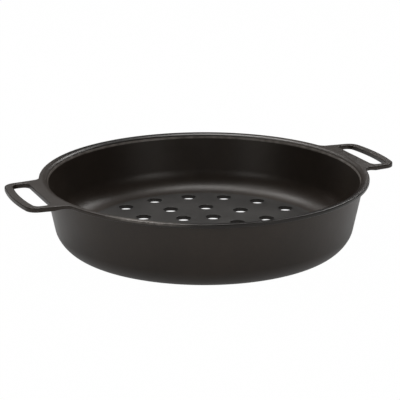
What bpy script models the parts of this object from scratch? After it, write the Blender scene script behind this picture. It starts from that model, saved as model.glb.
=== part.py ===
"""Perforated grill pan of cast iron: a tapered bowl with a drilled floor, a flat rim and two loop handles.

The real pan is one casting. It is modelled as the regions that a founder would name: the perforated
base, the foot ring with the rounded corner above it, the side wall, the rim flange and the two loop
handles. They meet across hairline joints. The circle of the outer corner dips below the resting plane and
is ground off flat there, which leaves the foot.

Metres, +Z up. The origin is on the pan's axis, in the plane of the foot ring that the pan stands on.
The handles point along +X (right) and -X (left).
"""
import math

import bmesh
import bpy

# Rim and height
RIM_RADIUS = 0.160
PAN_HEIGHT = 0.0652
FLANGE_THICKNESS = 0.0035
FLANGE_OVERHANG = 0.0053
LIP_RADIUS = 0.006
FLANGE_EDGE_RADIUS = 0.0008

# Side wall and foot
WALL_THICKNESS = 0.0035
WALL_DRAFT = math.radians(11.1)
OUTER_CORNER_RADIUS = 0.0225
INNER_CORNER_RADIUS = 0.024
FOOT_GROUND_OFF = 0.0028
FOOT_WIDTH = 0.0048

# Perforated floor
FLOOR_HEIGHT = 0.0085
FLOOR_THICKNESS = 0.0039
HOLE_DIAMETER = 0.0152
HOLE_EDGE_MARGIN = 0.0138
RING_SPACING = 0.0355
INNER_RING_RADIUS = 0.0394
OUTER_RING_HOLES = 18
MIDDLE_RING_HOLES = 12
INNER_RING_HOLES = 8
OUTER_RING_TURN = math.radians(-4.8)
MIDDLE_RING_TURN = math.radians(5.0)
INNER_RING_TURN = math.radians(8.1)
LEAST_BRIDGE = 0.004

# Loop handles
HANDLE_LENGTH = 0.0335
HANDLE_THICKNESS = 0.0045
HANDLE_TIP_WIDTH = 0.0845
HANDLE_ROOT_WIDTH = 0.0915
HANDLE_CORNER_RADIUS = 0.012
HANDLE_ROOT_FILLET = 0.008
HANDLE_EDGE_RADIUS = 0.0008
SLOT_LENGTH = 0.0744
SLOT_CORNER_RADIUS = 0.006
SLOT_SETBACK = 0.0069
GRIP_WIDTH = 0.008

# Joints between neighbouring regions
FIT_GAP = 0.0003
JOINT_DEPTH = 0.001

# Limits that keep rounded corners and edges within the iron round them, as shares of its width
CORNER_SHARE = 0.45
EDGE_SHARE = 1 / 3

# Facets and modelling tolerances
TURN_STEPS = 72
HOLE_SIDES = 20
CORNER_STEPS = 6
LIP_STEPS = 4
EDGE_STEPS = 2
ARC_STEPS = 5
CUT_OVERRUN = 0.002
MERGE_DISTANCE = 0.00001
SHARP_EDGE = math.radians(50)

# Seasoned iron, as (red, green, blue, alpha): darker inside and below, worn paler on the rim and the handles
IRON_COLOUR = (0.043, 0.038, 0.034, 1.0)
RIM_COLOUR = (0.075, 0.069, 0.063, 1.0)
IRON_METALLIC = 0.3
FLOOR_ROUGHNESS = 0.55
WALL_ROUGHNESS = 0.5
RIM_ROUGHNESS = 0.45

# Sizes that follow from the ones above
TAN_DRAFT = math.tan(WALL_DRAFT)
SIN_DRAFT = math.sin(WALL_DRAFT)
COS_DRAFT = math.cos(WALL_DRAFT)
FLANGE_UNDERSIDE = PAN_HEIGHT - FLANGE_THICKNESS
WALL_FOOT_RADIUS = RIM_RADIUS - FLANGE_OVERHANG - FLANGE_UNDERSIDE * TAN_DRAFT
INNER_FOOT_RADIUS = WALL_FOOT_RADIUS - WALL_THICKNESS / COS_DRAFT
JOINT_HEIGHT = PAN_HEIGHT - max(FLANGE_THICKNESS, LIP_RADIUS) - JOINT_DEPTH
FLOOR_UNDERSIDE = FLOOR_HEIGHT - FLOOR_THICKNESS
INNER_CORNER_HEIGHT = FLOOR_HEIGHT + INNER_CORNER_RADIUS
OUTER_CORNER_HEIGHT = OUTER_CORNER_RADIUS - FOOT_GROUND_OFF
INNER_CORNER_TOP = INNER_CORNER_HEIGHT - INNER_CORNER_RADIUS * SIN_DRAFT
OUTER_CORNER_TOP = OUTER_CORNER_HEIGHT - OUTER_CORNER_RADIUS * SIN_DRAFT
CORNER_JOINT_HEIGHT = max(INNER_CORNER_TOP, OUTER_CORNER_TOP) + JOINT_DEPTH


def wall_radius(height, foot_radius):
    """Radius of a tapered wall surface at a height, from its radius in the resting plane."""
    return foot_radius + height * TAN_DRAFT


def tangent_axis_radius(foot_radius, radius, centre_height, side):
    """Radius of the centre of an arc that touches the tapered wall; side is -1 inside it, +1 outside."""
    return foot_radius + (centre_height * SIN_DRAFT + side * radius) / COS_DRAFT


FLOOR_RADIUS = tangent_axis_radius(INNER_FOOT_RADIUS, INNER_CORNER_RADIUS, INNER_CORNER_HEIGHT, -1)
OUTER_CORNER_AXIS = tangent_axis_radius(WALL_FOOT_RADIUS, OUTER_CORNER_RADIUS, OUTER_CORNER_HEIGHT, -1)
FOOT_OUTER_RADIUS = OUTER_CORNER_AXIS + math.sqrt(OUTER_CORNER_RADIUS ** 2 - OUTER_CORNER_HEIGHT ** 2)
FOOT_INNER_RADIUS = max(FOOT_OUTER_RADIUS - FOOT_WIDTH, FLOOR_RADIUS + FIT_GAP)
OUTER_RING_RADIUS = FLOOR_RADIUS - HOLE_EDGE_MARGIN
MIDDLE_RING_RADIUS = OUTER_RING_RADIUS - RING_SPACING


def arc(centre, radius, start, end, steps):
    """Points of an arc, both ends included, as (across, up) pairs; the angles are in radians."""
    turns = [start + (end - start) * step / steps for step in range(steps + 1)]
    return [(centre[0] + radius * math.cos(turn), centre[1] + radius * math.sin(turn)) for turn in turns]


def clear_scene():
    """Removes whatever the file opened with."""
    for item in list(bpy.data.objects):
        bpy.data.objects.remove(item, do_unlink=True)


def new_collection(name):
    """A collection linked to the scene."""
    collection = bpy.data.collections.new(name)
    bpy.context.scene.collection.children.link(collection)
    return collection


def iron(name, colour, roughness):
    """A seasoned cast iron surface."""
    material = bpy.data.materials.new(name)
    material.use_nodes = True
    shader = material.node_tree.nodes["Principled BSDF"]
    shader.inputs["Base Color"].default_value = colour
    shader.inputs["Roughness"].default_value = roughness
    shader.inputs["Metallic"].default_value = IRON_METALLIC
    material.diffuse_color = colour
    return material


def turned(name, profile, collection, material):
    """A ring turned about Z from a closed profile of (radius, height) points, down the outer side first."""
    mesh = bpy.data.meshes.new(name)
    edges = [(index, (index + 1) % len(profile)) for index in range(len(profile))]
    mesh.from_pydata([(radius, 0.0, height) for radius, height in profile], edges, [])
    ring = bpy.data.objects.new(name, mesh)
    collection.objects.link(ring)
    mesh.materials.append(material)
    screw = ring.modifiers.new("Turn", "SCREW")
    screw.steps = TURN_STEPS
    screw.render_steps = TURN_STEPS
    screw.use_merge_vertices = True
    screw.merge_threshold = MERGE_DISTANCE
    screw.use_smooth_shade = True
    return ring


def side_wall_profile():
    """The tapered wall between the rounded corner and the rim."""
    top = JOINT_HEIGHT - FIT_GAP
    profile = [(wall_radius(top, WALL_FOOT_RADIUS), top)]
    profile.append((wall_radius(CORNER_JOINT_HEIGHT, WALL_FOOT_RADIUS), CORNER_JOINT_HEIGHT))
    profile.append((wall_radius(CORNER_JOINT_HEIGHT, INNER_FOOT_RADIUS), CORNER_JOINT_HEIGHT))
    profile.append((wall_radius(top, INNER_FOOT_RADIUS), top))
    return profile


def foot_ring_profile():
    """Outer corner, foot, underside, joint with the base and inner corner, up to the wall's joint."""
    top = CORNER_JOINT_HEIGHT - FIT_GAP
    base_joint = FLOOR_RADIUS + FIT_GAP / 2
    outer_centre = (OUTER_CORNER_AXIS, OUTER_CORNER_HEIGHT)
    inner_centre = (FLOOR_RADIUS, INNER_CORNER_HEIGHT)
    foot_turn = -math.asin(OUTER_CORNER_HEIGHT / OUTER_CORNER_RADIUS)
    outer_corner = arc(outer_centre, OUTER_CORNER_RADIUS, -WALL_DRAFT, foot_turn, CORNER_STEPS)
    inner_corner = arc(inner_centre, INNER_CORNER_RADIUS, -math.pi / 2, -WALL_DRAFT, CORNER_STEPS)
    profile = [(wall_radius(top, WALL_FOOT_RADIUS), top)]
    profile += outer_corner[:-1]
    profile += [(FOOT_OUTER_RADIUS, 0.0), (FOOT_INNER_RADIUS, 0.0)]
    profile += [(FOOT_INNER_RADIUS, FLOOR_UNDERSIDE), (base_joint, FLOOR_UNDERSIDE)]
    profile.append((base_joint, FLOOR_HEIGHT))
    profile += inner_corner[1:]
    profile.append((wall_radius(top, INNER_FOOT_RADIUS), top))
    return profile


def rim_flange_profile():
    """Rounded outer edge, underside, joint with the wall and the rounded lip inside."""
    edge = min(FLANGE_EDGE_RADIUS, EDGE_SHARE * FLANGE_THICKNESS)
    edge_radius = RIM_RADIUS - edge
    lip_height = PAN_HEIGHT - LIP_RADIUS
    lip_axis = tangent_axis_radius(INNER_FOOT_RADIUS, LIP_RADIUS, lip_height, 1)
    profile = arc((edge_radius, PAN_HEIGHT - edge), edge, math.pi / 2, 0.0, EDGE_STEPS)
    profile += arc((edge_radius, FLANGE_UNDERSIDE + edge), edge, 0.0, -math.pi / 2, EDGE_STEPS)
    profile.append((wall_radius(FLANGE_UNDERSIDE, WALL_FOOT_RADIUS), FLANGE_UNDERSIDE))
    profile.append((wall_radius(JOINT_HEIGHT, WALL_FOOT_RADIUS), JOINT_HEIGHT))
    profile.append((wall_radius(JOINT_HEIGHT, INNER_FOOT_RADIUS), JOINT_HEIGHT))
    profile += arc((lip_axis, lip_height), LIP_RADIUS, math.pi - WALL_DRAFT, math.pi / 2, LIP_STEPS)
    return profile


def ring_places(radius, count, turn):
    """Hole centres on one ring, with no more holes than leave a bridge of iron between them."""
    most = int(math.tau * radius / (HOLE_DIAMETER + LEAST_BRIDGE))
    fitting = max(1, min(count, most))
    turns = [turn + math.tau * index / fitting for index in range(fitting)]
    return [(radius * math.cos(angle), radius * math.sin(angle)) for angle in turns]


def hole_places():
    """Centres of all the holes: one in the middle and three rings round it."""
    places = [(0.0, 0.0)]
    places += ring_places(INNER_RING_RADIUS, INNER_RING_HOLES, INNER_RING_TURN)
    places += ring_places(MIDDLE_RING_RADIUS, MIDDLE_RING_HOLES, MIDDLE_RING_TURN)
    places += ring_places(OUTER_RING_RADIUS, OUTER_RING_HOLES, OUTER_RING_TURN)
    return places


def add_cylinder(shape, radius, low, high, sides, centre):
    """Adds a closed upright cylinder to a bmesh."""
    made = bmesh.ops.create_cone(
        shape, cap_ends=True, segments=sides, radius1=radius, radius2=radius, depth=high - low)
    middle = (centre[0], centre[1], (low + high) / 2)
    bmesh.ops.translate(shape, verts=made["verts"], vec=middle)


def object_from(shape, name, collection):
    """An object that holds the bmesh."""
    mesh = bpy.data.meshes.new(name)
    shape.to_mesh(mesh)
    shape.free()
    item = bpy.data.objects.new(name, mesh)
    collection.objects.link(item)
    return item


def make_hole_cutter(cutters):
    """All the drills as one guide, longer than the floor is thick."""
    drills = bmesh.new()
    low = FLOOR_UNDERSIDE - CUT_OVERRUN
    high = FLOOR_HEIGHT + CUT_OVERRUN
    for centre in hole_places():
        add_cylinder(drills, HOLE_DIAMETER / 2, low, high, HOLE_SIDES, centre)
    cutter = object_from(drills, "hole_drills", cutters)
    cutter.hide_render = True
    cutter.display_type = "WIRE"
    return cutter


def make_base(parts, cutters, material):
    """The flat floor plate inside the rounded corner, with its holes."""
    plate = bmesh.new()
    add_cylinder(plate, FLOOR_RADIUS - FIT_GAP / 2, FLOOR_UNDERSIDE, FLOOR_HEIGHT, TURN_STEPS, (0.0, 0.0))
    base = object_from(plate, "perforated_base", parts)
    base.data.materials.append(material)
    drilling = base.modifiers.new("Holes", "BOOLEAN")
    drilling.operation = "DIFFERENCE"
    drilling.solver = "EXACT"
    drilling.object = make_hole_cutter(cutters)
    return base


def handle_side():
    """Root of the +X handle's straight side at +Y, and the side's unit direction towards the tip."""
    tip_half = HANDLE_TIP_WIDTH / 2
    root_half = HANDLE_ROOT_WIDTH / 2
    root = (math.sqrt(RIM_RADIUS ** 2 - root_half ** 2), root_half)
    tip = (math.sqrt((RIM_RADIUS + HANDLE_LENGTH) ** 2 - tip_half ** 2), tip_half)
    run = math.hypot(tip[0] - root[0], tip[1] - root[1])
    along = ((tip[0] - root[0]) / run, (tip[1] - root[1]) / run)
    return root, along


def rounding_centre(radius, axis_distance, root, along, side):
    """Centre of an arc that touches the handle's side and a circle about the pan's axis."""
    normal = (-along[1] * side, along[0] * side)
    start = (root[0] + normal[0] * radius, root[1] + normal[1] * radius)
    half_b = start[0] * along[0] + start[1] * along[1]
    rest = start[0] ** 2 + start[1] ** 2 - axis_distance ** 2
    travel = -half_b + math.sqrt(half_b ** 2 - rest)
    return (start[0] + along[0] * travel, start[1] + along[1] * travel)


def mirrored(points):
    """The same points on the -Y side, in the order that goes on round the outline."""
    return [(x, -y) for x, y in reversed(points)]


def handle_outline():
    """Outer outline of the +X handle, from the rim along the +Y side to the tip and back."""
    root, along = handle_side()
    slope = math.atan2(along[1], along[0])
    rim = RIM_RADIUS + FIT_GAP
    tip = RIM_RADIUS + HANDLE_LENGTH
    fillet_centre = rounding_centre(HANDLE_ROOT_FILLET, rim + HANDLE_ROOT_FILLET, root, along, 1)
    corner_centre = rounding_centre(HANDLE_CORNER_RADIUS, tip - HANDLE_CORNER_RADIUS, root, along, -1)
    rim_turn = math.atan2(fillet_centre[1], fillet_centre[0])
    tip_turn = math.atan2(corner_centre[1], corner_centre[0])
    fillet = arc(fillet_centre, HANDLE_ROOT_FILLET, rim_turn - math.pi, slope - math.pi / 2, ARC_STEPS)
    corner = arc(corner_centre, HANDLE_CORNER_RADIUS, slope + math.pi / 2, tip_turn, ARC_STEPS)
    tip_edge = arc((0.0, 0.0), tip, tip_turn, -tip_turn, 2 * ARC_STEPS)
    rim_edge = arc((0.0, 0.0), rim, -rim_turn, rim_turn, 2 * ARC_STEPS)
    return fillet + corner + tip_edge[1:-1] + mirrored(fillet + corner) + rim_edge[1:-1]


def slot_outline():
    """Finger slot of the +X handle: straight beside the rim, curved along the grip, with rounded corners."""
    inner = RIM_RADIUS + SLOT_SETBACK
    outer = RIM_RADIUS + HANDLE_LENGTH - GRIP_WIDTH
    half = SLOT_LENGTH / 2
    end_width = math.sqrt(outer ** 2 - half ** 2) - inner
    corner = min(SLOT_CORNER_RADIUS, CORNER_SHARE * end_width)
    inner_centre = (inner + corner, half - corner)
    outer_centre = (math.sqrt((outer - corner) ** 2 - (half - corner) ** 2), half - corner)
    turn = math.atan2(outer_centre[1], outer_centre[0])
    inner_corner = arc(inner_centre, corner, math.pi, math.pi / 2, ARC_STEPS)
    outer_corner = arc(outer_centre, corner, math.pi / 2, turn, ARC_STEPS)
    grip_edge = arc((0.0, 0.0), outer, turn, -turn, 2 * ARC_STEPS)
    return inner_corner + outer_corner + grip_edge[1:-1] + mirrored(inner_corner + outer_corner)


def add_outline(curve, points):
    """Adds a closed outline to a flat curve."""
    spline = curve.splines.new("POLY")
    spline.points.add(len(points) - 1)
    for point, (x, y) in zip(spline.points, points):
        point.co = (x, y, 0.0, 1.0)
    spline.use_cyclic_u = True


def make_handle(name, turn, parts, material):
    """A flat loop handle, level with the top of the rim, turned about the pan's axis to its place."""
    curve = bpy.data.curves.new(name, "CURVE")
    curve.dimensions = "2D"
    curve.fill_mode = "BOTH"
    curve.extrude = HANDLE_THICKNESS / 2
    add_outline(curve, handle_outline())
    add_outline(curve, slot_outline())
    handle = bpy.data.objects.new(name, curve)
    parts.objects.link(handle)
    curve.materials.append(material)
    handle.location = (0.0, 0.0, PAN_HEIGHT - HANDLE_THICKNESS / 2)
    handle.rotation_euler = (0.0, 0.0, turn)
    weld = handle.modifiers.new("Weld caps", "WELD")
    weld.merge_threshold = MERGE_DISTANCE
    rounding = handle.modifiers.new("Rounded edges", "BEVEL")
    rounding.width = min(HANDLE_EDGE_RADIUS, EDGE_SHARE * HANDLE_THICKNESS)
    rounding.segments = 1
    rounding.limit_method = "ANGLE"
    rounding.angle_limit = SHARP_EDGE
    return handle


def main():
    """Builds the pan."""
    clear_scene()
    parts = new_collection("perforated_grill_pan")
    cutters = new_collection("cutters")
    make_base(parts, cutters, iron("floor_iron", IRON_COLOUR, FLOOR_ROUGHNESS))
    turned("foot_ring", foot_ring_profile(), parts, iron("foot_iron", IRON_COLOUR, WALL_ROUGHNESS))
    turned("side_wall", side_wall_profile(), parts, iron("wall_iron", IRON_COLOUR, WALL_ROUGHNESS))
    turned("rim_flange", rim_flange_profile(), parts, iron("rim_iron", RIM_COLOUR, RIM_ROUGHNESS))
    make_handle("right_handle", 0.0, parts, iron("right_handle_iron", RIM_COLOUR, RIM_ROUGHNESS))
    make_handle("left_handle", math.pi, parts, iron("left_handle_iron", RIM_COLOUR, RIM_ROUGHNESS))


main()
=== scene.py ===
"""Perforated grill pan of seasoned cast iron, on a plain pale floor in soft studio light."""

import math

import bmesh
import bpy
from mathutils import Matrix, Vector


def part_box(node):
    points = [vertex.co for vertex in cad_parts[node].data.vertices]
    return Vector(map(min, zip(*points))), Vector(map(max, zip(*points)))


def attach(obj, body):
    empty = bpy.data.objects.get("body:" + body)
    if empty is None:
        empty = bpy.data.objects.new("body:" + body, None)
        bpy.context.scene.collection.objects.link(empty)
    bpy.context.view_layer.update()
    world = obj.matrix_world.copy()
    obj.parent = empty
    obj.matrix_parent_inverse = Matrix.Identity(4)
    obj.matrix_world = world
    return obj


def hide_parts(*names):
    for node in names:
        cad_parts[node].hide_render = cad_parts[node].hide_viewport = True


bl_info = {
    "name": "Perforated grill pan",
    "version": (1, 0, 0),
    "blender": (4, 5, 0),
    "location": "3D View > Sidebar > Grill Pan",
    "description": "Models the iron pan piece by piece and sets it on a studio floor",
    "category": "Object",
}

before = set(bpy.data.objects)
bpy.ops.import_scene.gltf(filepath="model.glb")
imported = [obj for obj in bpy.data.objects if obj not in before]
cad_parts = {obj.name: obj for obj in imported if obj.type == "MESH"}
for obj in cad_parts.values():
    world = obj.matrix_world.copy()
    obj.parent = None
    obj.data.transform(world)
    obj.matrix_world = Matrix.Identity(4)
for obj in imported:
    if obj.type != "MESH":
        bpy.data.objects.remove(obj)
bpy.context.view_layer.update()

RIM_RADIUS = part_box("rim_flange")[1].x
RIM_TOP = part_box("rim_flange")[1].z
HANDLE_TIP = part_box("right_handle")[1].x
FLOOR_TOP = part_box("perforated_base")[1].z
FLOOR_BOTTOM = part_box("perforated_base")[0].z

# Facets of the turned surfaces and of the holes
ROUND_STEPS = 240
QUARTER_STEPS = ROUND_STEPS // 4
HOLE_STEPS = 32

# Facets of the arcs in the rim's plan
ROOT_FILLET_STEPS = 12
TIP_CORNER_STEPS = 14
TIP_STEPS = 10
SLOT_CORNER_STEPS = 10
SLOT_STEPS = 8

# Facets of the small roundings
EDGE_STEPS = 4
HOLE_BRIM_STEPS = 3
LIP_STEPS = 14
NECK_STEPS = 6
CORNER_STEPS = 24
FOOT_BRIM_STEPS = 2
RECESS_STEPS = 4

# Distance within which points are taken for one
MERGE = 0.000002

# Plan of the rim and its handles
FLAT_RADIUS = 0.1570
HANDLE_ROOT_HALF = 0.04575
HANDLE_TIP_HALF = 0.04225
ROOT_FILLET = 0.008
TIP_CORNER = 0.012
SLOT_INSIDE = 0.1669
SLOT_OUTSIDE = 0.1855
SLOT_HALF = 0.0372
SLOT_CORNER = 0.006
HANDLE_CUT = 0.1603
RAMP_END = 0.1665
BAND_WIDTH = 0.0011

# Roundings under the rim, at the foot's inner edge, in the recess and at the holes, and the holes' band
NECK_FILLET = 0.0018
FOOT_BRIM = 0.0005
RECESS_FILLET = 0.0012
HOLE_BRIM = 0.0003
HOLE_BAND = 0.0009

# Rings of holes, as (radius, count, turn in degrees) from the middle outwards
HOLE_RINGS = ((0.0394, 8, 8.1), (0.07165, 12, 5.0), (0.10715, 18, -4.8))

# Joints between the pieces: two heights and the floor's radius
FLANGE_JOINT = 0.0582
CORNER_JOINT = 0.0289
FLOOR_JOINT = 0.1204

# Upward part of the normal, for telling upright, level, steep lip and hole wall apart
UPRIGHT_MOST = 0.1
LEVEL_LEAST = 0.9
LIP_MOST = 0.62
HOLE_WALL_MOST = 0.75

# Bend between facets from which shading stays apart
SHARP_BEND = math.radians(40)

# Bends between facets from which the lip gets a little of the painted highlight, and all of it
HIGHLIGHT_BEND_START = math.radians(3.5)
HIGHLIGHT_BEND_FULL = math.radians(5.5)

# Direction of the pan's front, which faces the camera, and cosines to it where the front starts and is full
FRONT = Vector((-0.400, -0.917))
FRONT_START = 0.05
FRONT_FULL = 0.40

# Painted glint on the front left of the rim: its lowest height, and its middle and reach as angles
GLINT_DEPTH = 0.0630
GLINT_ANGLE = -2.31
GLINT_REACH = 0.27

# Distances from the middle, along the handles' line, between which the rim's darkening fades out
DARK_RIM_START = 0.095
DARK_RIM_END = 0.135

# Texture of the iron: patches and dimples to the metre, and the bump
GROUP_NAME = "Seasoned cast iron"
PATCHES_PER_METRE = 26.0
DIMPLES_PER_METRE = 160.0
DIMPLE_HEIGHT = 2.0
BUMP_STRENGTH = 0.35
BUMP_DISTANCE = 0.00012
# Roughness taken off where the rim is darkened and where painted shade lies
DARKENED_SMOOTHING = -0.11

# Studio floor: half its side, its grey, how white it looks, and how white it is in reflections
STAGE_REACH = 3.0
STAGE_GREY = 0.8
STAGE_WHITENESS = 0.995
STAGE_MIRRORED = 0.38

# Point that the camera and the lamps face, and the lamps' distance from it
PAN_MIDDLE = Vector((0.0, 0.0, 0.030))
LAMP_DISTANCE = 1.4

# Picture that the camera frames, in pixels, and the camera's sensor in millimetres
PICTURE_SIDE = 400
SENSOR_WIDTH = 36.0


class PanSizes(bpy.types.PropertyGroup):
    """Sizes of the casting."""
    rim_radius: bpy.props.FloatProperty(
        name="Rim radius", description="Radius of the rim's outer edge",
        default=RIM_RADIUS, min=0.05, unit="LENGTH", subtype="DISTANCE", precision=4)
    rim_top: bpy.props.FloatProperty(
        name="Height", description="Height of the flat top of the rim",
        default=RIM_TOP, min=0.02, unit="LENGTH", subtype="DISTANCE", precision=4)
    flange_thickness: bpy.props.FloatProperty(
        name="Rim thickness", description="Thickness of the flat rim",
        default=0.0035, min=0.001, unit="LENGTH", subtype="DISTANCE", precision=4)
    lip_radius: bpy.props.FloatProperty(
        name="Lip rounding", description="Rounding between the rim's top and the inner wall",
        default=0.006, min=0.0005, unit="LENGTH", subtype="DISTANCE", precision=4)
    edge_radius: bpy.props.FloatProperty(
        name="Edge rounding", description="Rounding of the rim's and the handles' edges",
        default=0.0009, min=0.0001, unit="LENGTH", subtype="DISTANCE", precision=4)
    outer_foot: bpy.props.FloatProperty(
        name="Outer taper radius",
        description="Radius that the outer wall's taper reaches at the resting plane",
        default=0.14260, min=0.04, unit="LENGTH", subtype="DISTANCE", precision=5)
    inner_foot: bpy.props.FloatProperty(
        name="Inner taper radius",
        description="Radius that the inner wall's taper reaches at the resting plane",
        default=0.13903, min=0.04, unit="LENGTH", subtype="DISTANCE", precision=5)
    draft: bpy.props.FloatProperty(
        name="Wall taper", description="Lean of the wall away from upright",
        default=math.radians(11.1), min=0.0, max=0.7, unit="ROTATION", subtype="ANGLE")
    outer_corner: bpy.props.FloatProperty(
        name="Outer corner", description="Rounding between the outer wall and the foot",
        default=0.0225, min=0.001, unit="LENGTH", subtype="DISTANCE", precision=4)
    ground_off: bpy.props.FloatProperty(
        name="Ground off", description="How far the outer corner would dip below the resting plane",
        default=0.0028, min=0.0, unit="LENGTH", subtype="DISTANCE", precision=4)
    inner_corner: bpy.props.FloatProperty(
        name="Inner corner", description="Rounding between the inner wall and the floor",
        default=0.024, min=0.001, unit="LENGTH", subtype="DISTANCE", precision=4)
    foot_inside: bpy.props.FloatProperty(
        name="Foot's inner radius", description="Inner radius of the ring that the pan stands on",
        default=0.1295, min=0.02, unit="LENGTH", subtype="DISTANCE", precision=4)
    handle_thickness: bpy.props.FloatProperty(
        name="Handle thickness", description="Thickness of the loop handles",
        default=0.0045, min=0.001, unit="LENGTH", subtype="DISTANCE", precision=4)
    handle_tip: bpy.props.FloatProperty(
        name="Handle reach", description="Distance from the pan's axis to a handle's outer edge",
        default=HANDLE_TIP, min=0.06, unit="LENGTH", subtype="DISTANCE", precision=4)
    hole_diameter: bpy.props.FloatProperty(
        name="Hole diameter", description="Diameter of the holes in the floor",
        default=0.0152, min=0.002, unit="LENGTH", subtype="DISTANCE", precision=4)


class FinishSettings(bpy.types.PropertyGroup):
    """Colours and texture of the seasoned iron, with the colours of the painted highlight and the painted
    shade.
    """
    iron: bpy.props.FloatVectorProperty(
        name="Iron", description="Colour of the seasoned iron",
        default=(0.0395, 0.0290, 0.0218), size=3, min=0.0, max=1.0, subtype="COLOR")
    patch: bpy.props.FloatVectorProperty(
        name="Baked oil", description="Colour of the darker patches of baked oil",
        default=(0.0300, 0.0230, 0.0182), size=3, min=0.0, max=1.0, subtype="COLOR")
    # The plate is lighter and greyer than the other iron: painted light on the upward-facing perforated
    # floor
    plate: bpy.props.FloatVectorProperty(
        name="Plate", description="Colour of the perforated floor, which the fire keeps cleaner",
        default=(0.0520, 0.0498, 0.0472), size=3, min=0.0, max=1.0, subtype="COLOR")
    # The worn colour is a painted highlight on the lip and a painted glint on the rim's front left
    highlight_colour: bpy.props.FloatVectorProperty(
        name="Painted highlight", description="Colour of the rubbed lip and of the worn spot",
        default=(0.3000, 0.2700, 0.2420), size=3, min=0.0, max=1.0, subtype="COLOR")
    # The oiled colour darkens the rim between the handles and is painted shade on the front of the lip and
    # on the holes' walls
    dark_rim_and_shade: bpy.props.FloatVectorProperty(
        name="Dark rim and shade", description="Colour of the oiled rim between the handles, and of the holes' walls",
        default=(0.0125, 0.0100, 0.0085), size=3, min=0.0, max=1.0, subtype="COLOR")
    grain: bpy.props.FloatProperty(
        name="Grain size", description="Width of one grain of the sand-cast texture",
        default=0.0009, min=0.0001, unit="LENGTH", subtype="DISTANCE", precision=5)
    roughness: bpy.props.FloatProperty(
        name="Roughness", description="Mean roughness of the iron",
        default=0.42, min=0.0, max=1.0, subtype="FACTOR")
    # How far the painted highlight's colour covers its mask
    highlight_cover: bpy.props.FloatProperty(
        name="Highlight cover", description="How far the worn colour covers the rubbed parts",
        default=0.9, min=0.0, max=1.0, subtype="FACTOR")


class StageSettings(bpy.types.PropertyGroup):
    """Camera and light."""
    azimuth: bpy.props.FloatProperty(
        name="Camera azimuth", description="Turn of the camera about the pan's axis from the -Y side",
        default=math.radians(-23.56), unit="ROTATION", subtype="ANGLE")
    elevation: bpy.props.FloatProperty(
        name="Camera elevation", description="Angle of the camera above the horizon",
        default=math.radians(17.60), unit="ROTATION", subtype="ANGLE")
    distance: bpy.props.FloatProperty(
        name="Camera distance", description="Distance from the camera to the middle of the pan",
        default=1.4, min=0.3, unit="LENGTH", subtype="DISTANCE")
    focal_pixels: bpy.props.FloatProperty(
        name="Focal length in pixels", description="Focal length, counted in pixels of the picture",
        default=1429.5, min=100.0)
    middle_across: bpy.props.FloatProperty(
        name="Middle across", description="Pixels from the picture's left side to the middle of the pan",
        default=204.1)
    middle_down: bpy.props.FloatProperty(
        name="Middle down", description="Pixels from the picture's top to the middle of the pan",
        default=207.9)
    left_back_light: bpy.props.FloatProperty(
        name="Left back light", description="Power of the softbox high behind the pan on the left",
        default=4.5, min=0.0, unit="POWER", subtype="POWER")
    right_back_light: bpy.props.FloatProperty(
        name="Right back light", description="Power of the softbox behind the pan on the right",
        default=2.9, min=0.0, unit="POWER", subtype="POWER")
    overhead_light: bpy.props.FloatProperty(
        name="Overhead light", description="Power of the softbox nearly overhead",
        default=5.6, min=0.0, unit="POWER", subtype="POWER")
    accent_light: bpy.props.FloatProperty(
        name="Accent lights", description="Power of the low and the middle lamp on the left behind the pan",
        default=0.5, min=0.0, unit="POWER", subtype="POWER")
    high_accent_light: bpy.props.FloatProperty(
        name="High accent light", description="Power of the high lamp on the left, which catches the lip",
        default=1.1, min=0.0, unit="POWER", subtype="POWER")
    right_front_light: bpy.props.FloatProperty(
        name="Right front light", description="Power of the softbox in front, to the right",
        default=2.4, min=0.0, unit="POWER", subtype="POWER")
    left_front_light: bpy.props.FloatProperty(
        name="Left front light", description="Power of the softbox in front, to the left",
        default=1.8, min=0.0, unit="POWER", subtype="POWER")
    fill_light: bpy.props.FloatProperty(
        name="Fill light", description="Power of the low softbox in front",
        default=0.3, min=0.0, unit="POWER", subtype="POWER")


def tapered(radius, height, sizes):
    """Radius of a wall surface at a height, from its radius in the resting plane."""
    return radius + height * math.tan(sizes.draft)


def finish_piece(shape, name, node, material):
    """Makes the bmesh a finished piece that stands for a node of the frame."""
    bmesh.ops.remove_doubles(shape, verts=shape.verts[:], dist=MERGE)
    bmesh.ops.recalc_face_normals(shape, faces=shape.faces[:])
    shape.normal_update()
    paint_highlight_and_glint(shape)
    paint_dark_rim_and_shade(shape)
    mark_sharp_edges(shape)
    for face in shape.faces:
        face.smooth = True
    if any(not edge.is_manifold for edge in shape.edges):
        raise RuntimeError(f"{name} isn't a closed surface")
    if shape.calc_volume(signed=True) <= 0:
        raise RuntimeError(f"{name} is inside out")
    mesh = bpy.data.meshes.new(name)
    shape.to_mesh(mesh)
    shape.free()
    mesh.materials.append(material)
    piece = bpy.data.objects.new(name, mesh)
    bpy.context.scene.collection.objects.link(piece)
    even = piece.modifiers.new("Even shading", "WEIGHTED_NORMAL")
    even.keep_sharp = True
    even.weight = 80
    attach(piece, "root")
    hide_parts(node)


def share_between(value, start, full):
    """How far a value has come from a start to a full value, from 0 to 1."""
    return min(1.0, max(0.0, (value - start) / (full - start)))


def is_on_rim(vert):
    """Whether a point belongs to the rim, above the joint with the wall."""
    return vert.co.z > FLANGE_JOINT + MERGE


def is_on_lip(vert):
    """Whether a point lies on the steep part of the rim's rounded inner lip."""
    faces_in = vert.normal.xy.dot(vert.co.xy) < 0.0
    return faces_in and is_on_rim(vert) and vert.co.xy.length < FLAT_RADIUS and vert.normal.z < LIP_MOST


def frontness(vert):
    """How far a point lies on the pan's front, from 0 to 1."""
    return share_between(vert.co.xy.normalized().dot(FRONT), FRONT_START, FRONT_FULL)


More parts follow.
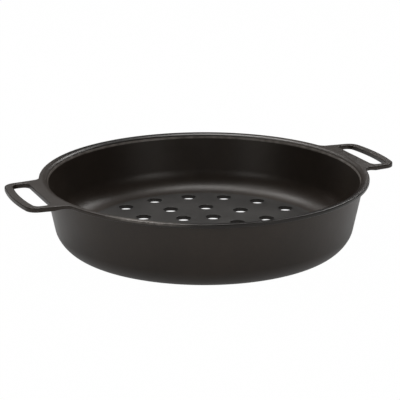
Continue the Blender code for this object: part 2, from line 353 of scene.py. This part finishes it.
def paint_highlight_and_glint(shape):
    """Stores where a highlight is painted: on the steep part of the lip, away from the front, and as a glint
    on the rim's front left.
    """
    layer = shape.verts.layers.float.new("painted_highlight")
    for vert in shape.verts:
        # Painted highlight on the steep part of the lip, left off at the front
        if is_on_lip(vert):
            bend = max(edge.calc_face_angle_signed(0.0) for edge in vert.link_edges)
            vert[layer] = share_between(bend, HIGHLIGHT_BEND_START, HIGHLIGHT_BEND_FULL) * (1.0 - frontness(vert))
        # Painted glint on the top of the rim at its front left
        if vert.co.z > GLINT_DEPTH:
            off_centre = abs(math.atan2(vert.co.y, vert.co.x) - GLINT_ANGLE)
            spot = share_between(off_centre, GLINT_REACH, GLINT_REACH / 2)
            vert[layer] = max(vert[layer], spot)


def paint_dark_rim_and_shade(shape):
    """Stores where the iron is darkened: the rim between the handles, with painted shade on the front of its
    lip, and painted shade on the holes' walls.
    """
    layer = shape.verts.layers.float.new("dark_rim_and_shade")
    for vert in shape.verts:
        # Share of the rim's darkening: full in the middle, fading out towards the handles
        oil = share_between(abs(vert.co.x), DARK_RIM_END, DARK_RIM_START)
        # Painted shade on the front of the lip
        if is_on_lip(vert):
            vert[layer] = oil * frontness(vert)
        # Darker flat top and outer edge of the rim between the handles
        elif is_on_rim(vert) and (vert.co.xy.length > FLAT_RADIUS - MERGE or vert.normal.z > LIP_MOST):
            vert[layer] = oil
        # Painted shade on the walls of the holes
        elif vert.co.xy.length < FLOOR_JOINT - MERGE and abs(vert.normal.z) < HOLE_WALL_MOST:
            vert[layer] = 1.0


def mark_sharp_edges(shape):
    """Keeps the shading apart across edges that aren't rounded."""
    for edge in shape.edges:
        edge.smooth = len(edge.link_faces) == 2 and edge.calc_face_angle(0.0) < SHARP_BEND


def rounded_profile(shape, corners, closed):
    """Draws a profile in the XZ plane from (radius, height, rounding, segments) corners."""
    verts = [shape.verts.new((radius, 0.0, height)) for radius, height, _, _ in corners]
    links = list(zip(verts, verts[1:] + verts[:1]))
    if not closed:
        links.pop()
    for first, second in links:
        shape.edges.new((first, second))
    for vert, (_, _, rounding, segments) in zip(verts, corners):
        if rounding > 0:
            arms = [edge.other_vert(vert).co - vert.co for edge in vert.link_edges]
            reach = rounding / math.tan(arms[0].angle(arms[1]) / 2)
            bmesh.ops.bevel(
                shape, geom=[vert], offset=reach, offset_type="OFFSET", segments=segments,
                profile=0.5, affect="VERTICES", clamp_overlap=False, material=-1)


def turn_profile(shape):
    """Turns everything drawn so far once round the pan's axis."""
    bmesh.ops.spin(
        shape, geom=shape.verts[:] + shape.edges[:], cent=(0.0, 0.0, 0.0), axis=(0.0, 0.0, 1.0),
        angle=math.tau, steps=ROUND_STEPS, use_merge=True)


def line_to(shape, vert, place):
    """Draws a straight line from a point to a place in the same plane."""
    end = bmesh.ops.extrude_vert_indiv(shape, verts=[vert])["verts"][0]
    end.co = (place[0], place[1], vert.co.z)
    return end


def arc_about(shape, vert, centre, angle, steps):
    """Draws an arc from a point about an upright axis through the centre."""
    spun = bmesh.ops.spin(
        shape, geom=[vert], cent=(centre[0], centre[1], vert.co.z), axis=(0.0, 0.0, 1.0),
        angle=angle, steps=steps)
    return next(item for item in spun["geom_last"] if isinstance(item, bmesh.types.BMVert))


def tangent_centre(radius, axis_distance, root, along, side):
    """Centre of an arc that touches a handle's side and a circle about the pan's axis."""
    start = root + side * radius * Vector((-along.y, along.x))
    half_b = start.dot(along)
    travel = -half_b + math.sqrt(half_b ** 2 - start.length_squared + axis_distance ** 2)
    return start + along * travel


def turn_between(centre, start, end):
    """Signed turn about the centre from one place to another, the short way."""
    first = start - centre
    second = end - centre
    return math.atan2(first.x * second.y - first.y * second.x, first.dot(second))


def on_circle(radius, angle):
    """Place on a circle about the pan's axis."""
    return Vector((radius * math.cos(angle), radius * math.sin(angle)))


def draw_rim_quarter(shape, sizes):
    """Draws the outline of a quarter of the rim with half of the +X handle, and fills it."""
    rim = sizes.rim_radius
    tip = sizes.handle_tip
    middle = Vector((0.0, 0.0))
    root = Vector((math.sqrt(rim ** 2 - HANDLE_ROOT_HALF ** 2), HANDLE_ROOT_HALF))
    end = Vector((math.sqrt(tip ** 2 - HANDLE_TIP_HALF ** 2), HANDLE_TIP_HALF))
    along = (end - root).normalized()
    fillet = tangent_centre(ROOT_FILLET, rim + ROOT_FILLET, root, along, 1)
    corner = tangent_centre(TIP_CORNER, tip - TIP_CORNER, root, along, -1)
    normal = Vector((-along.y, along.x))
    rim_touch = fillet.normalized() * rim
    side_start = fillet - normal * ROOT_FILLET
    side_end = corner + normal * TIP_CORNER
    tip_touch = corner.normalized() * tip

    start = bmesh.ops.create_vert(shape, co=(0.0, rim, sizes.rim_top))["vert"][0]
    rim_turn = turn_between(middle, Vector((0.0, rim)), rim_touch)
    vert = arc_about(shape, start, middle, rim_turn, QUARTER_STEPS)
    vert = arc_about(shape, vert, fillet, turn_between(fillet, rim_touch, side_start), ROOT_FILLET_STEPS)
    vert = line_to(shape, vert, side_end)
    vert = arc_about(shape, vert, corner, turn_between(corner, side_end, tip_touch), TIP_CORNER_STEPS)
    tip_turn = turn_between(middle, tip_touch, Vector((tip, 0.0)))
    vert = arc_about(shape, vert, middle, tip_turn, TIP_STEPS)

    inner_centre = Vector((SLOT_INSIDE + SLOT_CORNER, SLOT_HALF - SLOT_CORNER))
    reach = SLOT_OUTSIDE - SLOT_CORNER
    outer_centre = Vector((math.sqrt(reach ** 2 - inner_centre.y ** 2), inner_centre.y))
    outer_touch = outer_centre.normalized() * SLOT_OUTSIDE
    slot_turn = turn_between(middle, Vector((SLOT_OUTSIDE, 0.0)), outer_touch)
    vert = line_to(shape, vert, (SLOT_OUTSIDE, 0.0))
    vert = arc_about(shape, vert, middle, slot_turn, SLOT_STEPS)
    vert = arc_about(shape, vert, outer_centre, math.pi / 2 - slot_turn, SLOT_CORNER_STEPS)
    vert = line_to(shape, vert, (inner_centre.x, SLOT_HALF))
    vert = arc_about(shape, vert, inner_centre, math.pi / 2, SLOT_CORNER_STEPS)
    vert = line_to(shape, vert, (SLOT_INSIDE, 0.0))
    vert = line_to(shape, vert, (FLAT_RADIUS, 0.0))
    vert = arc_about(shape, vert, middle, math.pi / 2, QUARTER_STEPS)
    shape.edges.new((vert, start))
    bmesh.ops.contextual_create(shape, geom=shape.edges[:])


def is_upright(face):
    """Whether a face stands upright."""
    return abs(face.normal.z) < UPRIGHT_MOST


def is_level(face):
    """Whether a face lies level."""
    return abs(face.normal.z) > LEVEL_LEAST


def is_brim(edge):
    """Whether an edge lies between an upright face and a level one."""
    return (len(edge.link_faces) == 2 and any(is_upright(face) for face in edge.link_faces)
            and any(is_level(face) for face in edge.link_faces))


def thicken_plate(shape, band, thickness):
    """Lays a narrow band along the edges of a flat plate and thickens the plate downwards."""
    bmesh.ops.recalc_face_normals(shape, faces=shape.faces[:])
    bmesh.ops.inset_region(
        shape, faces=shape.faces[:], thickness=band, use_boundary=True, use_even_offset=True)
    thick = bmesh.ops.extrude_face_region(shape, geom=shape.faces[:])["geom"]
    lower = [item for item in thick if isinstance(item, bmesh.types.BMVert)]
    bmesh.ops.translate(shape, verts=lower, vec=(0.0, 0.0, -thickness))
    bmesh.ops.recalc_face_normals(shape, faces=shape.faces[:])


def round_edges(shape, edges, radius, steps):
    """Rounds the given edges."""
    bmesh.ops.bevel(
        shape, geom=edges, offset=radius, offset_type="OFFSET", segments=steps,
        profile=0.5, affect="EDGES", clamp_overlap=False, material=-1)


def rim_with_handles(sizes):
    """The whole rim casting: flat flange, rounded lip, top of the wall and both loop handles."""
    shape = bmesh.new()
    draw_rim_quarter(shape, sizes)
    for axis in ("X", "Y"):
        bmesh.ops.mirror(shape, geom=shape.verts[:] + shape.edges[:] + shape.faces[:],
                         merge_dist=MERGE, axis=axis)
    thicken_plate(shape, BAND_WIDTH, sizes.flange_thickness)
    inside = [face for face in shape.faces if is_upright(face)
              and all(vert.co.xy.length < FLAT_RADIUS + MERGE for vert in face.verts)]
    bmesh.ops.delete(shape, geom=inside, context="FACES")
    round_edges(shape, [edge for edge in shape.edges if is_brim(edge)], sizes.edge_radius, EDGE_STEPS)
    thicken_handles(shape, sizes)
    add_lip(shape, sizes)
    bmesh.ops.remove_doubles(shape, verts=shape.verts[:], dist=MERGE)
    bmesh.ops.recalc_face_normals(shape, faces=shape.faces[:])
    return shape


def thicken_handles(shape, sizes):
    """Lowers the underside of the handles, with a short slope at each root."""
    for side in (-1, 1):
        for reach in (HANDLE_CUT, RAMP_END):
            bmesh.ops.bisect_plane(
                shape, geom=shape.verts[:] + shape.edges[:] + shape.faces[:], dist=MERGE / 2,
                plane_co=(side * reach, 0.0, 0.0), plane_no=(1.0, 0.0, 0.0))
    extra = sizes.handle_thickness - sizes.flange_thickness
    half_height = sizes.rim_top - sizes.flange_thickness / 2
    for vert in shape.verts:
        if vert.co.z < half_height:
            vert.co.z -= extra * share_between(abs(vert.co.x), HANDLE_CUT, RAMP_END)


def add_lip(shape, sizes):
    """Adds the rounded lip and the top of the wall under it to the flat flange."""
    under = sizes.rim_top - sizes.flange_thickness
    lip = bmesh.new()
    rounded_profile(lip, [
        (FLAT_RADIUS, under, 0.0, 0),
        (tapered(sizes.outer_foot, under, sizes), under, NECK_FILLET, NECK_STEPS),
        (tapered(sizes.outer_foot, FLANGE_JOINT, sizes), FLANGE_JOINT, 0.0, 0),
        (tapered(sizes.inner_foot, FLANGE_JOINT, sizes), FLANGE_JOINT, 0.0, 0),
        (tapered(sizes.inner_foot, sizes.rim_top, sizes), sizes.rim_top, sizes.lip_radius, LIP_STEPS),
        (FLAT_RADIUS, sizes.rim_top, 0.0, 0),
    ], closed=False)
    turn_profile(lip)
    turned = bpy.data.meshes.new("lip")
    lip.to_mesh(turned)
    lip.free()
    shape.from_mesh(turned)
    bpy.data.meshes.remove(turned)


def cut_away(shape, place, direction):
    """Cuts off what lies on the direction's side of an upright plane and closes the cut."""
    cut = bmesh.ops.bisect_plane(
        shape, geom=shape.verts[:] + shape.edges[:] + shape.faces[:], dist=MERGE / 2,
        plane_co=(place, 0.0, 0.0), plane_no=(direction, 0.0, 0.0), clear_outer=True)
    rim = [item for item in cut["geom_cut"] if isinstance(item, bmesh.types.BMEdge)]
    bmesh.ops.edgeloop_fill(shape, edges=rim)


def make_floor(sizes, material):
    """The flat floor with its rings of holes."""
    shape = bmesh.new()
    bmesh.ops.create_circle(shape, cap_ends=False, segments=ROUND_STEPS, radius=FLOOR_JOINT)
    for place in hole_places():
        bmesh.ops.create_circle(
            shape, cap_ends=False, segments=HOLE_STEPS, radius=sizes.hole_diameter / 2,
            matrix=Matrix.Translation((place.x, place.y, 0.0)))
    bmesh.ops.triangle_fill(shape, use_beauty=True, use_dissolve=False, edges=shape.edges[:])
    bmesh.ops.translate(shape, verts=shape.verts[:], vec=(0.0, 0.0, FLOOR_TOP))
    thicken_plate(shape, HOLE_BAND, FLOOR_TOP - FLOOR_BOTTOM)
    brims = [edge for edge in shape.edges
             if is_brim(edge) and edge.verts[0].co.xy.length < FLOOR_JOINT - MERGE]
    round_edges(shape, brims, HOLE_BRIM, HOLE_BRIM_STEPS)
    finish_piece(shape, "floor_casting", "perforated_base", material)


def hole_places():
    """Centres of the holes: one in the middle and three rings round it."""
    places = [Vector((0.0, 0.0))]
    for radius, count, turn in HOLE_RINGS:
        places += [on_circle(radius, math.radians(turn) + math.tau * index / count)
                   for index in range(count)]
    return places


def foot_corner(sizes):
    """Where the foot's outer edge lies, and the corner that its rounding up to the wall cuts off."""
    radius = sizes.outer_corner
    rise = radius - sizes.ground_off
    axis = sizes.outer_foot + (rise * math.sin(sizes.draft) - radius) / math.cos(sizes.draft)
    foot_turn = math.asin(rise / radius)
    reach = radius / math.cos((foot_turn - sizes.draft) / 2)
    middle = (foot_turn + sizes.draft) / 2
    edge = axis + radius * math.cos(foot_turn)
    return edge, (axis + reach * math.cos(middle), rise - reach * math.sin(middle))


def make_foot_ring(sizes, material):
    """The ring that the pan stands on, with the rounded corners above it and the floor's edge."""
    shape = bmesh.new()
    foot_edge, corner = foot_corner(sizes)
    rounded_profile(shape, [
        (tapered(sizes.outer_foot, CORNER_JOINT, sizes), CORNER_JOINT, 0.0, 0),
        (corner[0], corner[1], sizes.outer_corner, CORNER_STEPS),
        (foot_edge, 0.0, 0.0, 0),
        (sizes.foot_inside, 0.0, FOOT_BRIM, FOOT_BRIM_STEPS),
        (sizes.foot_inside, FLOOR_BOTTOM, RECESS_FILLET, RECESS_STEPS),
        (FLOOR_JOINT, FLOOR_BOTTOM, 0.0, 0),
        (FLOOR_JOINT, FLOOR_TOP, 0.0, 0),
        (tapered(sizes.inner_foot, FLOOR_TOP, sizes), FLOOR_TOP, sizes.inner_corner, CORNER_STEPS),
        (tapered(sizes.inner_foot, CORNER_JOINT, sizes), CORNER_JOINT, 0.0, 0),
    ], closed=True)
    turn_profile(shape)
    finish_piece(shape, "foot_casting", "foot_ring", material)


def make_side_wall(sizes, material):
    """The tapered wall between the corner and the rim."""
    shape = bmesh.new()
    rounded_profile(shape, [
        (tapered(sizes.outer_foot, FLANGE_JOINT, sizes), FLANGE_JOINT, 0.0, 0),
        (tapered(sizes.outer_foot, CORNER_JOINT, sizes), CORNER_JOINT, 0.0, 0),
        (tapered(sizes.inner_foot, CORNER_JOINT, sizes), CORNER_JOINT, 0.0, 0),
        (tapered(sizes.inner_foot, FLANGE_JOINT, sizes), FLANGE_JOINT, 0.0, 0),
    ], closed=True)
    turn_profile(shape)
    finish_piece(shape, "wall_casting", "side_wall", material)


def make_rim(sizes, material):
    """The flat rim with the roots of both handles."""
    shape = rim_with_handles(sizes)
    cut_away(shape, HANDLE_CUT, 1.0)
    cut_away(shape, -HANDLE_CUT, -1.0)
    finish_piece(shape, "rim_casting", "rim_flange", material)


def make_handle(sizes, side, name, node, material):
    """One loop handle, from its root outwards."""
    shape = rim_with_handles(sizes)
    cut_away(shape, side * HANDLE_CUT, -side)
    finish_piece(shape, name, node, material)


def add_attribute(tree, name):
    """A value painted on the mesh."""
    node = tree.nodes.new("ShaderNodeAttribute")
    node.attribute_name = name
    return node.outputs["Fac"]


def add_noise(tree, place, detail, roughness):
    """A noise texture over the given coordinates."""
    node = tree.nodes.new("ShaderNodeTexNoise")
    node.inputs["Detail"].default_value = detail
    node.inputs["Roughness"].default_value = roughness
    tree.links.new(place, node.inputs["Vector"])
    return node


def add_range(tree, value, start, end, low, high):
    """Maps a value from one range to another."""
    node = tree.nodes.new("ShaderNodeMapRange")
    node.inputs["From Min"].default_value = start
    node.inputs["From Max"].default_value = end
    node.inputs["To Min"].default_value = low
    node.inputs["To Max"].default_value = high
    tree.links.new(value, node.inputs["Value"])
    return node.outputs["Result"]


def add_math(tree, operation, *terms):
    """Works out one sum from sockets and plain numbers."""
    node = tree.nodes.new("ShaderNodeMath")
    node.operation = operation
    for term, socket in zip(terms, node.inputs):
        if isinstance(term, bpy.types.NodeSocket):
            tree.links.new(term, socket)
        else:
            socket.default_value = term
    return node.outputs["Value"]


def add_mix(tree, share, first, second):
    """Mixes two colours."""
    node = tree.nodes.new("ShaderNodeMix")
    node.data_type = "RGBA"
    tree.links.new(share, node.inputs["Factor"])
    tree.links.new(first, node.inputs["A"])
    tree.links.new(second, node.inputs["B"])
    return node.outputs["Result"]


def iron_group():
    """Shader group of the seasoned cast surface: colour with its painted highlight and painted shade,
    roughness and height of the grain.
    """
    group = bpy.data.node_groups.get(GROUP_NAME)
    if group:
        return group
    group = bpy.data.node_groups.new(GROUP_NAME, "ShaderNodeTree")
    face = group.interface
    for name in ("Iron", "Baked oil", "Painted highlight", "Dark rim and shade"):
        face.new_socket(name, in_out="INPUT", socket_type="NodeSocketColor")
    for name in ("Grains per metre", "Patches per metre", "Roughness", "Highlight cover"):
        face.new_socket(name, in_out="INPUT", socket_type="NodeSocketFloat")
    face.new_socket("Colour", in_out="OUTPUT", socket_type="NodeSocketColor")
    face.new_socket("Roughness", in_out="OUTPUT", socket_type="NodeSocketFloat")
    face.new_socket("Height", in_out="OUTPUT", socket_type="NodeSocketFloat")

    links = group.links
    given = group.nodes.new("NodeGroupInput")
    out = group.nodes.new("NodeGroupOutput")
    place = group.nodes.new("ShaderNodeTexCoord").outputs["Object"]
    painted_highlight = add_attribute(group, "painted_highlight")
    dark_rim_and_shade = add_attribute(group, "dark_rim_and_shade")

    patches = add_noise(group, place, 5.0, 0.6)
    links.new(given.outputs["Patches per metre"], patches.inputs["Scale"])
    grains = add_noise(group, place, 3.0, 0.55)
    links.new(given.outputs["Grains per metre"], grains.inputs["Scale"])
    dimples = add_noise(group, place, 2.0, 0.5)
    dimples.inputs["Scale"].default_value = DIMPLES_PER_METRE

    patch_share = add_range(group, patches.outputs["Fac"], 0.35, 0.65, 0.0, 1.0)
    seasoned = add_mix(group, patch_share, given.outputs["Iron"], given.outputs["Baked oil"])
    speckle = add_range(group, grains.outputs["Fac"], 0.3, 0.7, 0.9, 1.1)
    speckled = group.nodes.new("ShaderNodeVectorMath")
    speckled.operation = "SCALE"
    links.new(seasoned, speckled.inputs[0])
    links.new(speckle, speckled.inputs["Scale"])
    # Painted shade, and the darker rim between the handles
    darkened = add_mix(group, dark_rim_and_shade, speckled.outputs["Vector"], given.outputs["Dark rim and shade"])
    # Painted highlight on the lip and painted glint on the rim's front left
    highlight_noise = add_range(group, dimples.outputs["Fac"], 0.0, 0.7, 0.0, 1.0)
    highlight_mask = add_math(group, "MULTIPLY", painted_highlight, highlight_noise)
    highlight_amount = add_math(group, "MULTIPLY", highlight_mask, given.outputs["Highlight cover"])
    links.new(add_mix(group, highlight_amount, darkened, given.outputs["Painted highlight"]), out.inputs["Colour"])

    unevenness = add_range(group, patch_share, 0.0, 1.0, 0.02, -0.02)
    rough = add_math(group, "ADD", given.outputs["Roughness"], unevenness)
    links.new(add_math(group, "MULTIPLY_ADD", dark_rim_and_shade, DARKENED_SMOOTHING, rough), out.inputs["Roughness"])
    height = add_math(group, "MULTIPLY_ADD", dimples.outputs["Fac"], DIMPLE_HEIGHT, grains.outputs["Fac"])
    links.new(height, out.inputs["Height"])
    return group


def iron_material(name, finish, iron):
    """A seasoned iron finish with its own values in the shared group."""
    darker = finish.patch[0] / finish.iron[0]
    material = bpy.data.materials.new(name)
    material.use_nodes = True
    nodes = material.node_tree.nodes
    links = material.node_tree.links
    shader = nodes["Principled BSDF"]
    shader.inputs["Metallic"].default_value = 0.0
    shader.inputs["IOR"].default_value = 1.45
    shader.inputs["Specular Tint"].default_value = (1.0, 0.95, 0.90, 1.0)
    shader.inputs["Coat Weight"].default_value = 0.15
    shader.inputs["Coat Roughness"].default_value = 0.28
    skin = nodes.new("ShaderNodeGroup")
    skin.node_tree = iron_group()
    skin.inputs["Iron"].default_value = list(iron) + [1.0]
    skin.inputs["Baked oil"].default_value = [value * darker for value in iron] + [1.0]
    skin.inputs["Painted highlight"].default_value = list(finish.highlight_colour) + [1.0]
    skin.inputs["Dark rim and shade"].default_value = list(finish.dark_rim_and_shade) + [1.0]
    skin.inputs["Grains per metre"].default_value = 1.0 / finish.grain
    skin.inputs["Patches per metre"].default_value = PATCHES_PER_METRE
    skin.inputs["Roughness"].default_value = finish.roughness
    skin.inputs["Highlight cover"].default_value = finish.highlight_cover
    bump = nodes.new("ShaderNodeBump")
    bump.inputs["Strength"].default_value = BUMP_STRENGTH
    bump.inputs["Distance"].default_value = BUMP_DISTANCE
    links.new(skin.outputs["Colour"], shader.inputs["Base Color"])
    links.new(skin.outputs["Roughness"], shader.inputs["Roughness"])
    links.new(skin.outputs["Height"], bump.inputs["Height"])
    links.new(bump.outputs["Normal"], shader.inputs["Normal"])
    return material


def white_to_the_eye(tree, mirrored):
    """Share of plain white: all of it for what the camera sees, and less in reflections."""
    path = tree.nodes.new("ShaderNodeLightPath")
    seen = add_math(tree, "MAXIMUM", path.outputs["Is Camera Ray"], path.outputs["Is Transmission Ray"])
    return add_math(tree, "MULTIPLY_ADD", path.outputs["Is Glossy Ray"], mirrored, seen)


def show_white(tree, share, lit, white, output):
    """Shows plain white in place of the lit look, as far as the share says."""
    mix = tree.nodes.new("ShaderNodeMixShader")
    tree.links.new(share, mix.inputs["Fac"])
    tree.links.new(lit, mix.inputs[1])
    tree.links.new(white, mix.inputs[2])
    tree.links.new(mix.outputs["Shader"], tree.nodes[output].inputs["Surface"])


def make_stage_floor():
    """Pale floor that keeps a faint shadow."""
    shape = bmesh.new()
    bmesh.ops.create_grid(shape, x_segments=1, y_segments=1, size=STAGE_REACH)
    mesh = bpy.data.meshes.new("studio_floor")
    shape.to_mesh(mesh)
    shape.free()
    ground = bpy.data.objects.new("studio_floor", mesh)
    bpy.context.scene.collection.objects.link(ground)
    material = bpy.data.materials.new("Studio floor")
    material.use_nodes = True
    tree = material.node_tree
    tree.nodes.remove(tree.nodes["Principled BSDF"])
    matte = tree.nodes.new("ShaderNodeBsdfDiffuse")
    matte.inputs["Color"].default_value = (STAGE_GREY, STAGE_GREY, STAGE_GREY, 1.0)
    white = tree.nodes.new("ShaderNodeEmission")
    share = add_math(tree, "MULTIPLY", white_to_the_eye(tree, STAGE_MIRRORED), STAGE_WHITENESS)
    show_white(tree, share, matte.outputs["BSDF"], white.outputs["Emission"], "Material Output")
    mesh.materials.append(material)


def make_world():
    """Room that is white to the eye and leaves the light on the pan to the lamps."""
    world = bpy.data.worlds.new("Studio")
    bpy.context.scene.world = world
    world.use_nodes = True
    tree = world.node_tree
    dark = tree.nodes["Background"]
    dark.inputs["Strength"].default_value = 0.0
    white = tree.nodes.new("ShaderNodeBackground")
    white.inputs["Color"].default_value = (1.0, 1.0, 1.0, 1.0)
    share = white_to_the_eye(tree, 0.0)
    show_white(tree, share, dark.outputs["Background"], white.outputs["Background"], "World Output")


def add_softbox(name, azimuth, bearing, elevation, side, power):
    """A square lamp that faces the pan, with its bearing and height above the horizon in degrees.

    The bearing counts clockwise, seen from above, from straight behind the pan.
    """
    lamp = bpy.data.lights.new(name, "AREA")
    lamp.shape = "SQUARE"
    lamp.size = side
    lamp.energy = power
    item = bpy.data.objects.new(name, lamp)
    bpy.context.scene.collection.objects.link(item)
    heading = math.radians(bearing) - azimuth
    rise = math.radians(elevation)
    level = math.cos(rise)
    outward = Vector((math.sin(heading) * level, math.cos(heading) * level, math.sin(rise)))
    item.location = outward * LAMP_DISTANCE + PAN_MIDDLE
    item.rotation_euler = outward.to_track_quat("Z", "Y").to_euler()


def make_camera(settings):
    """Camera at the photograph's viewing angle."""
    level = math.cos(settings.elevation)
    back = Vector((
        math.sin(settings.azimuth) * level, -math.cos(settings.azimuth) * level,
        math.sin(settings.elevation)))
    lens = bpy.data.cameras.new("Camera")
    lens.sensor_width = SENSOR_WIDTH
    lens.lens = settings.focal_pixels / PICTURE_SIDE * SENSOR_WIDTH
    lens.clip_end = 20.0
    camera = bpy.data.objects.new("Camera", lens)
    bpy.context.scene.collection.objects.link(camera)
    yaw = math.atan((settings.middle_across - PICTURE_SIDE / 2) / settings.focal_pixels)
    pitch = math.atan((settings.middle_down - PICTURE_SIDE / 2) / settings.focal_pixels)
    aim = back.to_track_quat("Z", "Y").to_matrix().to_4x4()
    aim = aim @ Matrix.Rotation(yaw, 4, "Y") @ Matrix.Rotation(pitch, 4, "X")
    camera.matrix_world = Matrix.Translation(PAN_MIDDLE + back * settings.distance) @ aim
    bpy.context.scene.camera = camera


class PAN_OT_floor(bpy.types.Operator):
    """Models the perforated floor"""
    bl_idname = "grillpan.floor"
    bl_label = "Perforated floor"
    bl_options = {"REGISTER", "UNDO"}

    def execute(self, context):
        finish = context.scene.pan_finish
        make_floor(context.scene.pan_sizes, iron_material("Iron of the floor", finish, finish.plate))
        return {"FINISHED"}


class PAN_OT_bowl(bpy.types.Operator):
    """Models the foot ring and the side wall"""
    bl_idname = "grillpan.bowl"
    bl_label = "Foot ring and wall"
    bl_options = {"REGISTER", "UNDO"}

    def execute(self, context):
        sizes = context.scene.pan_sizes
        finish = context.scene.pan_finish
        make_foot_ring(sizes, iron_material("Iron of the foot", finish, finish.iron))
        make_side_wall(sizes, iron_material("Iron of the wall", finish, finish.iron))
        return {"FINISHED"}


class PAN_OT_rim(bpy.types.Operator):
    """Models the flat rim"""
    bl_idname = "grillpan.rim"
    bl_label = "Rim"
    bl_options = {"REGISTER", "UNDO"}

    def execute(self, context):
        finish = context.scene.pan_finish
        make_rim(context.scene.pan_sizes, iron_material("Iron of the rim", finish, finish.iron))
        return {"FINISHED"}


class PAN_OT_handles(bpy.types.Operator):
    """Models the two loop handles"""
    bl_idname = "grillpan.handles"
    bl_label = "Loop handles"
    bl_options = {"REGISTER", "UNDO"}

    def execute(self, context):
        sizes = context.scene.pan_sizes
        finish = context.scene.pan_finish
        material = iron_material("Iron of the handles", finish, finish.iron)
        make_handle(sizes, 1, "right_handle_casting", "right_handle", material)
        make_handle(sizes, -1, "left_handle_casting", "left_handle", material)
        return {"FINISHED"}


class PAN_OT_stage(bpy.types.Operator):
    """Sets the floor, the lights and the camera"""
    bl_idname = "grillpan.stage"
    bl_label = "Stage, light and camera"
    bl_options = {"REGISTER", "UNDO"}

    def execute(self, context):
        settings = context.scene.pan_stage
        make_stage_floor()
        make_world()
        turn = settings.azimuth
        add_softbox("Left back light", turn, -18, 54, 0.36, settings.left_back_light)
        add_softbox("Right back light", turn, 24, 37, 0.36, settings.right_back_light)
        add_softbox("Overhead light", turn, 0, 70, 0.46, settings.overhead_light)
        add_softbox("Low accent light", turn, -45, 12, 0.45, settings.accent_light)
        add_softbox("Middle accent light", turn, -22, 32, 0.35, settings.accent_light)
        add_softbox("High accent light", turn, -60, 68, 0.40, settings.high_accent_light)
        add_softbox("Right front light", turn, 135, 26, 0.50, settings.right_front_light)
        add_softbox("Left front light", turn, -138, 22, 0.50, settings.left_front_light)
        add_softbox("Fill light", turn, 180, 12, 0.50, settings.fill_light)
        make_camera(settings)
        context.scene.view_settings.view_transform = "Standard"
        return {"FINISHED"}


class PAN_PT_panel(bpy.types.Panel):
    """Lists the pan's pieces and settings"""
    bl_idname = "PAN_PT_panel"
    bl_label = "Perforated grill pan"
    bl_space_type = "VIEW_3D"
    bl_region_type = "UI"
    bl_category = "Grill Pan"

    def draw(self, context):
        layout = self.layout
        scene = context.scene
        for operator in OPERATORS:
            layout.operator(operator.bl_idname)
        for group in (scene.pan_sizes, scene.pan_finish, scene.pan_stage):
            box = layout.box()
            for name in group.__annotations__:
                box.prop(group, name)


GROUPS = (PanSizes, FinishSettings, StageSettings)
OPERATORS = (PAN_OT_floor, PAN_OT_bowl, PAN_OT_rim, PAN_OT_handles, PAN_OT_stage)
CLASSES = GROUPS + OPERATORS + (PAN_PT_panel,)


def register():
    """Registers the classes and hangs the settings on the scene."""
    for item in CLASSES:
        bpy.utils.register_class(item)
    bpy.types.Scene.pan_sizes = bpy.props.PointerProperty(type=PanSizes)
    bpy.types.Scene.pan_finish = bpy.props.PointerProperty(type=FinishSettings)
    bpy.types.Scene.pan_stage = bpy.props.PointerProperty(type=StageSettings)


def unregister():
    """Takes the settings and the classes away again."""
    del bpy.types.Scene.pan_stage
    del bpy.types.Scene.pan_finish
    del bpy.types.Scene.pan_sizes
    for item in reversed(CLASSES):
        bpy.utils.unregister_class(item)


def main():
    """Models the pan and sets the stage."""
    register()
    bpy.ops.grillpan.floor()
    bpy.ops.grillpan.bowl()
    bpy.ops.grillpan.rim()
    bpy.ops.grillpan.handles()
    bpy.ops.grillpan.stage()


if __name__ == "__main__":
    main()
